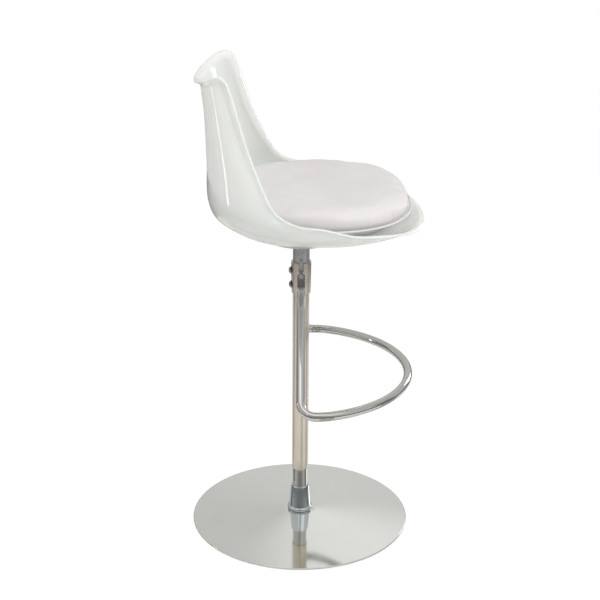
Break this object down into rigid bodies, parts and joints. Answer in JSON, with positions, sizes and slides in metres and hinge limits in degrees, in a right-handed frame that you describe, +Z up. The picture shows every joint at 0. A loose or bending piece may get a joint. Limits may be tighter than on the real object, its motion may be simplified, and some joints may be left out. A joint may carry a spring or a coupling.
{
  "type": "adjustable swivel stool",
  "caption": "Height-adjustable swivel stool: moulded bucket seat with flared lip and loose cushion on a gas-lift column, bent loop footrest and weighted round base.",
  "frame": {"origin": "on the floor, on the column's axis under the base", "axes": "+Z up along the column; the sitter faces -Y; +X is at the sitter's left"},
  "size_m": [0.4348, 0.4239, 0.8773],
  "materials": {
    "pad": "matt foam pad",
    "cast": "rough cast",
    "base": "satin spun steel",
    "collar": "turned and polished",
    "steel": "zinc-plated fasteners",
    "chrome": "bright chrome plate",
    "nickel": "satin nickel plate",
    "socket": "satin grey",
    "plate": "light grey powder coat",
    "brass": "turned",
    "liner": "natural nylon",
    "black": "black moulding",
    "shell": "high gloss white",
    "fleece": "hook-and-loop pad",
    "board": "plywood",
    "leather": "white leatherette"
  },
  "bodies": {
    "base": {"floor_pad": "pad", "ballast": "cast", "base_cover": "base", "collar": "collar", "base_bolt": "steel", "base_washer": "steel", "gas_cylinder": "chrome", "cylinder_gland": "black"},
    "piston": {"piston": "brass"},
    "upper": {"piston_rod": "chrome", "rod_clip": "steel", "outer_tube": "nickel", "guide_liner": "liner", "clamp_sleeve": "nickel", "sleeve_bolts": "steel", "sleeve_washers": "black", "footrest": "chrome", "footrest_screws": "steel", "seat_socket": "socket", "socket_set_screw": "steel", "rod_nut": "steel", "seat_plate": "plate", "plate_bosses": "shell", "plate_screws": "steel", "lever_bracket": "plate", "lever_pin": "steel", "seat_shell": "shell", "cushion_pads": "fleece", "cushion_board": "board", "cushion": "leather"},
    "lever": {"release_lever": "chrome", "lever_grip": "black"},
    "valve": {"valve_button": "steel"}
  },
  "joints": [
    {"name": "lift", "type": "slide", "parent": "base", "child": "piston", "axis": [0, 0, 1], "range_m": [0, 0.2]},
    {"name": "swivel", "type": "hinge", "parent": "piston", "child": "upper", "pos_m": [0, 0, 0.3], "axis": [0, 0, 1], "continuous": true},
    {"name": "release", "type": "hinge", "parent": "upper", "child": "lever", "pos_m": [0.018, 0, 0.5702], "axis": [0, -1, 0], "range_deg": [0, 6]},
    {"name": "valve_press", "type": "slide", "parent": "upper", "child": "valve", "axis": [0, 0, 1], "range_m": [-0.0022, 0]}
  ],
  "couplings": [
    {"joint": "valve_press", "follows": "release", "m_per_rad": -0.0195}
  ]
}
